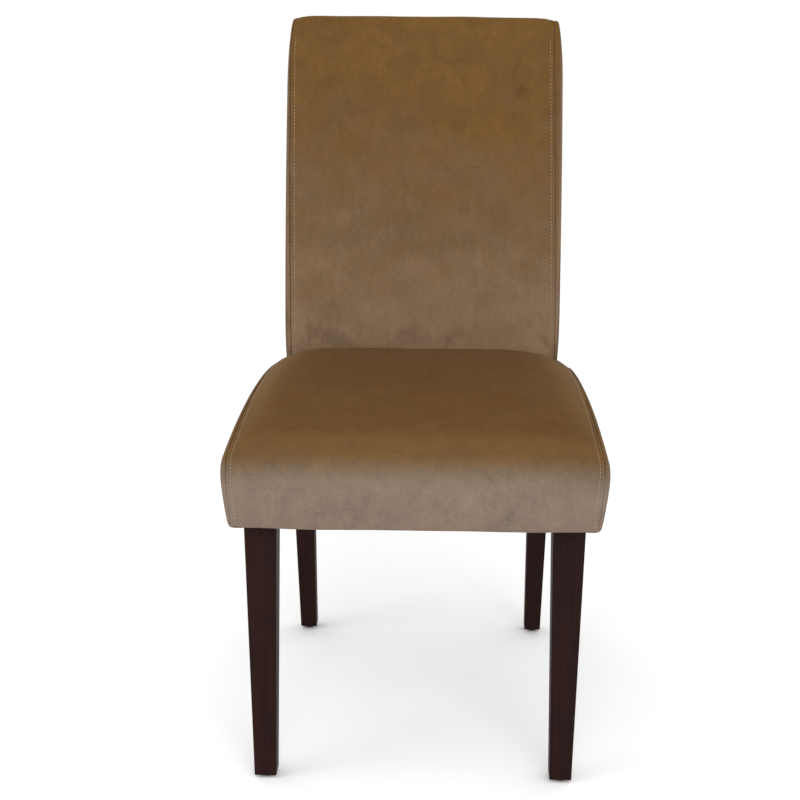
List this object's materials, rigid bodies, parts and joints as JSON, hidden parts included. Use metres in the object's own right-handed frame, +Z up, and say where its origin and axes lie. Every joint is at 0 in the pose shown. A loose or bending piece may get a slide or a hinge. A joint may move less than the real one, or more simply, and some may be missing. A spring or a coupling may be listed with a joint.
{
  "type": "parsons chair",
  "caption": "Upholstered parsons dining chair with a waterfall seat, a slim raked and curved back and tapered dark wooden legs.",
  "frame": {"origin": "on the floor, under the middle of the chair's overall width and depth", "axes": "+Z up; +Y from the front of the seat to the back; +X to the right seen from the front"},
  "size_m": [0.4944, 0.5991, 1.0056],
  "materials": {
    "espresso_wood": "satin lacquer",
    "frame_wood": "planed, raw",
    "zinc_steel": "zinc plated",
    "glide_metal": "dark nickel",
    "webbing": "woven",
    "foam": "open cell",
    "wadding": "fluffy",
    "velvet": "short pile",
    "card": "grey board",
    "cambric": "non-woven, black"
  },
  "bodies": {
    "root": {"front_leg_right": "espresso_wood", "front_leg_left": "espresso_wood", "rear_post_right": "espresso_wood", "rear_post_left": "espresso_wood", "seat_rail_front": "frame_wood", "seat_rail_rear": "frame_wood", "seat_rail_right": "frame_wood", "seat_rail_left": "frame_wood", "back_rail_top": "frame_wood", "back_rail_middle": "frame_wood", "back_rail_bottom": "frame_wood", "corner_block_front_right": "frame_wood", "corner_block_front_left": "frame_wood", "corner_block_rear_right": "frame_wood", "corner_block_rear_left": "frame_wood", "rail_dowels": "frame_wood", "hanger_bolts": "zinc_steel", "washers": "zinc_steel", "nuts": "zinc_steel", "corner_block_screws": "zinc_steel", "glides": "glide_metal", "seat_straps_lengthwise": "webbing", "seat_straps_crosswise": "webbing", "back_straps_upright": "webbing", "back_straps_cross": "webbing", "seat_foam": "foam", "back_foam": "foam", "seat_wadding": "wadding", "back_wadding": "wadding", "seat_cover_top": "velvet", "seat_cover_side_right": "velvet", "seat_cover_side_left": "velvet", "back_cover_front": "velvet", "back_cover_side_right": "velvet", "back_cover_side_left": "velvet", "back_cover_rear": "velvet", "back_card": "card", "dust_cover": "cambric"}
  },
  "joints": []
}
